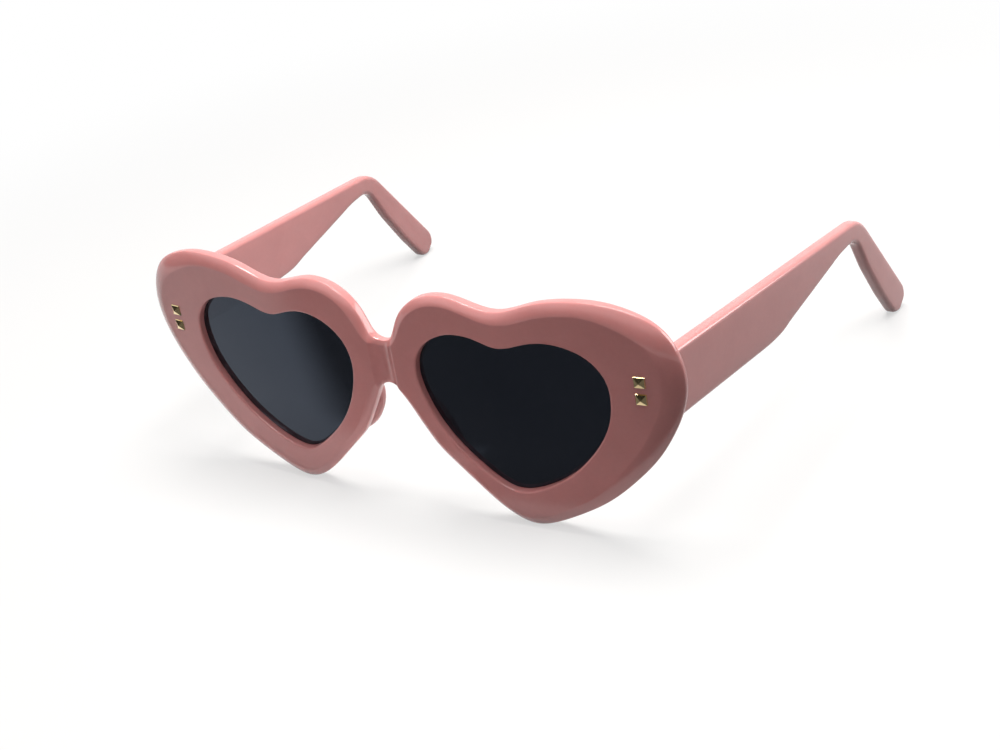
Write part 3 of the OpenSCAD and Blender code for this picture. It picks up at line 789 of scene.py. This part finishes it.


# Floor, card of painted dark reflections and world, with places in metres. The rays that show the
# surroundings see them pale, and the others get the light that comes back from them.

SEEN = ("Is Camera Ray", "Is Glossy Ray", "Is Transmission Ray")
FLOOR_R, FLOOR_TONE = 4, (0.5, 0.5, 0.5, 1)
FLOOR_GLOW, GLOW_ENDS = 0.6, (0.14, 0.36)
# A painted pool of light on the floor: for the rays that do not show it, it is paler near the nose and
# darker further off
FLOOR_BOUNCE, BOUNCE_ENDS, BOUNCE_AT = (0.68, 0.15), (0.04, 0.13), (-0.02, -0.11, 0)
# The card paints dark reflections: it is seen only in reflections, dark before the left heart and grey
# beside the left temple
CARD_LOW, CARD_HIGH, CARD_UP = (-0.2, -0.6), (0.4, 0.4), 0.0005
CARD_WAY, CARD_EDGE, CARD_DARK = (1, -1.2, 0), (0.044, 0.072), 0.88
CARD_START, TIP_X, TIP_Y = (-0.076, -0.088), (0.0, 0.01), (-0.068, -0.073)
SIDE_X, SIDE_Y, SIDE_DARK = (0.07, 0.1), (0.13, 0.03), 0.3
BACK_LIGHT, CEILING = 0.1, (0.3, 0.5)
ROOM = [(0.0, grey(0.02)), (0.42, grey(0.05)), (0.6, grey(1))]   # from before the pair to behind it


def rays(tree, *kinds):
    """1 for the named kinds of ray, else 0."""
    path = node(tree, "ShaderNodeLightPath")
    out = path.outputs[kinds[0]]
    for kind in kinds[1:]:
        both = node(tree, "ShaderNodeMath", operation="MAXIMUM")
        tree.links.new(out, both.inputs[0])
        tree.links.new(path.outputs[kind], both.inputs[1])
        out = both.outputs["Value"]
    return out


def fade(tree, source, out, ends, values=(0.0, 1.0)):
    """A smooth change between two values, while the source goes from one end to the other."""
    made = node(tree, "ShaderNodeMapRange",
                {"From Min": ends[0], "From Max": ends[1], "To Min": values[0], "To Max": values[1]},
                interpolation_type="SMOOTHSTEP")
    link(tree, source, out, made, "Value")
    return made


def toward(tree, factor, source, colour):
    """The source's colour, which becomes the other colour as the factor goes from 0 to 1."""
    made = node(tree, "ShaderNodeMix", data_type="RGBA")
    tree.links.new(factor, made.inputs["Factor"])
    tree.links.new(source, made.inputs["A"])
    made.inputs["B"].default_value = colour
    return made.outputs["Result"]


def surface(tree, output, factor, first, second):
    """Shows the first shader where the factor is 0 and the second where it is 1."""
    mixed = node(tree, "ShaderNodeMixShader")
    tree.links.new(factor, mixed.inputs["Fac"])
    tree.links.new(first, mixed.inputs[1])
    tree.links.new(second, mixed.inputs[2])
    link(tree, mixed, "Shader", tree.nodes[output], "Surface")


def floor_material():
    """A floor that glows white for the rays that show it, less so near the pair, where its shadow falls.
    For the other rays it has a painted pool of light: it is paler near the nose and throws more light
    back on the pair there."""
    made, tree, shader = material("pale_floor")
    place = node(tree, "ShaderNodeTexCoord")
    near = node(tree, "ShaderNodeVectorMath", {1: BOUNCE_AT}, operation="DISTANCE")
    link(tree, place, "Object", near, 0)
    # Painted pool of light: paler near the nose, darker away from it
    bounce = fade(tree, near, "Value", BOUNCE_ENDS, FLOOR_BOUNCE)
    tone = toward(tree, rays(tree, *SEEN), bounce.outputs["Result"], FLOOR_TONE)
    tree.links.new(tone, shader.inputs["Base Color"])
    set_inputs(shader, {"Roughness": 0.9, "Specular IOR Level": 0.1})
    far = node(tree, "ShaderNodeVectorMath", operation="LENGTH")
    link(tree, place, "Object", far, "Vector")
    part = node(tree, "ShaderNodeMath", operation="MULTIPLY")
    tree.links.new(rays(tree, *SEEN), part.inputs[0])
    link(tree, fade(tree, far, "Value", GLOW_ENDS, (FLOOR_GLOW, 1.0)), "Result", part, 1)
    glow = node(tree, "ShaderNodeEmission")
    surface(tree, "Material Output", part.outputs["Value"], shader.outputs["BSDF"],
            glow.outputs["Emission"])
    return made


def make_floor():
    bm = bmesh.new()
    bmesh.ops.create_circle(bm, cap_ends=True, segments=96, radius=FLOOR_R)
    mesh = mesh_from("floor", bm)
    mesh.materials.append(floor_material())
    obj = placed("floor", mesh)
    obj.location = (0, 0, cad_low.z)
    return obj


def card_material():
    """Painted dark reflections: dark before the left heart, and nearer to it where its lens's tip mirrors
    the floor, and grey beside the left temple. Elsewhere it is clear."""
    made, tree, _ = material("painted_reflection_card")
    place = node(tree, "ShaderNodeTexCoord")
    axes = node(tree, "ShaderNodeSeparateXYZ")
    link(tree, place, "Object", axes, "Vector")
    along = node(tree, "ShaderNodeVectorMath", {1: CARD_WAY}, operation="DOT_PRODUCT")
    link(tree, place, "Object", along, 0)

    def joined(operation, first, second):
        both = node(tree, "ShaderNodeMath", operation=operation)
        link(tree, first, 0, both, 0)
        link(tree, second, 0, both, 1)
        return both

    tip = joined("MULTIPLY", fade(tree, axes, "X", TIP_X), fade(tree, axes, "Y", TIP_Y))
    start = joined("MAXIMUM", tip, fade(tree, axes, "Y", CARD_START))
    before = joined("MULTIPLY", fade(tree, along, "Value", CARD_EDGE, (0.0, CARD_DARK)), start)
    beside = joined("MULTIPLY", fade(tree, axes, "X", SIDE_X, (0.0, SIDE_DARK)),
                    fade(tree, axes, "Y", SIDE_Y))
    dark = joined("MAXIMUM", before, beside)
    clear = node(tree, "ShaderNodeBsdfTransparent")
    black = node(tree, "ShaderNodeBsdfDiffuse", {"Color": BLACK})
    surface(tree, "Material Output", dark.outputs["Value"], clear.outputs["BSDF"],
            black.outputs["BSDF"])
    return made


def painted_reflection_card():
    """A card on the floor that only reflections show, which paints dark reflections."""
    (x0, y0), (x1, y1) = CARD_LOW, CARD_HIGH
    mesh = bpy.data.meshes.new("painted_reflection_card")
    mesh.from_pydata([(x0, y0, 0), (x1, y0, 0), (x1, y1, 0), (x0, y1, 0)], [], [(0, 1, 2, 3)])
    mesh.materials.append(card_material())
    obj = placed("painted_reflection_card", mesh)
    obj.location.z = cad_low.z + CARD_UP
    for kind in ("camera", "diffuse", "transmission", "volume_scatter", "shadow"):
        setattr(obj, "visible_" + kind, False)
    return obj


def make_world():
    """White to the camera. Reflections see a pale ceiling, a pale wall behind the pair and a dark
    room before it. The wall and the room give the pair a little light."""
    world = bpy.data.worlds.new("studio")
    bpy.context.scene.world = world
    world.use_nodes = True
    tree = world.node_tree
    place = node(tree, "ShaderNodeTexCoord")
    axes = node(tree, "ShaderNodeSeparateXYZ")
    link(tree, place, "Generated", axes, "Vector")
    depth = node(tree, "ShaderNodeMapRange", {"From Min": -1.0, "From Max": 1.0})
    link(tree, axes, "Y", depth, "Value")
    room = ramp(tree, depth, "Result", ROOM)
    back_light = tree.nodes["Background"]
    set_inputs(back_light, {"Strength": BACK_LIGHT})
    link(tree, room, "Color", back_light, "Color")
    ceiling = fade(tree, axes, "Z", CEILING)
    roofed = toward(tree, ceiling.outputs["Result"], room.outputs["Color"], WHITE)
    shown = toward(tree, rays(tree, "Is Camera Ray"), roofed, WHITE)
    seen = node(tree, "ShaderNodeBackground")
    tree.links.new(shown, seen.inputs["Color"])
    surface(tree, "World Output", rays(tree, *SEEN), back_light.outputs["Background"],
            seen.outputs["Background"])


floor = make_floor()
painted_reflection_card()
make_world()


# Lamps and camera


def lamp(name, place, target, size, watts, colour, mirrored=True):
    """A rectangular lamp that looks at its target, with places in metres."""
    data = bpy.data.lights.new(name, "AREA")
    data.shape = "RECTANGLE"
    data.size, data.size_y = size
    data.energy = watts
    data.color = colour
    obj = placed(name, data)
    obj.location = place
    obj.rotation_mode = "QUATERNION"
    obj.rotation_quaternion = (Vector(target) - Vector(place)).to_track_quat("-Z", "Y")
    obj.visible_glossy = mirrored


lamp("overhead", (0.04, 0.03, 0.6), (0.04, 0.02, 0.03), (0.5, 0.3), 8.2, (1, 0.97, 0.94))
lamp("front_left", (-0.34, -0.32, 0.2), (-0.05, -0.06, 0.02), (0.2, 0.2), 0.25, (1, 1, 1), False)
lamp("above_front", (0.1, -0.27, 0.58), (0, -0.05, 0.03), (0.3, 0.15), 1.0, (1, 0.98, 0.96))
lamp("back_right", (0.4, 0.3, 0.2), (0.03, -0.02, 0.03), (0.25, 0.25), 1.2, (1, 1, 1))

# The photo's camera, as fitted to the outlines: its place in the construction's millimetres, and the
# directions of its right, its top and its back
CAMERA_PLACE = (214.08, -251.17, 175.53)
CAMERA_RIGHT = Vector((0.847356, 0.509078, -0.151087))
CAMERA_UP = Vector((-0.137894, 0.485703, 0.863179))
CAMERA_BACK = Vector((0.512809, -0.710586, 0.481762))


def make_camera():
    data = bpy.data.cameras.new("photo_view")
    data.sensor_width = 36
    data.lens = 57.6
    data.clip_start = 0.01
    data.clip_end = 20
    obj = placed("photo_view", data)
    x, y, z = CAMERA_PLACE
    turned = Matrix((CAMERA_RIGHT, CAMERA_UP, CAMERA_BACK)).transposed().to_4x4()
    turned.translation = Vector((x, y + FACE_Y, z + LEVEL_Z)) * MM
    obj.matrix_world = turned
    bpy.context.scene.camera = obj


make_camera()
bpy.context.scene.view_settings.view_transform = "Standard"
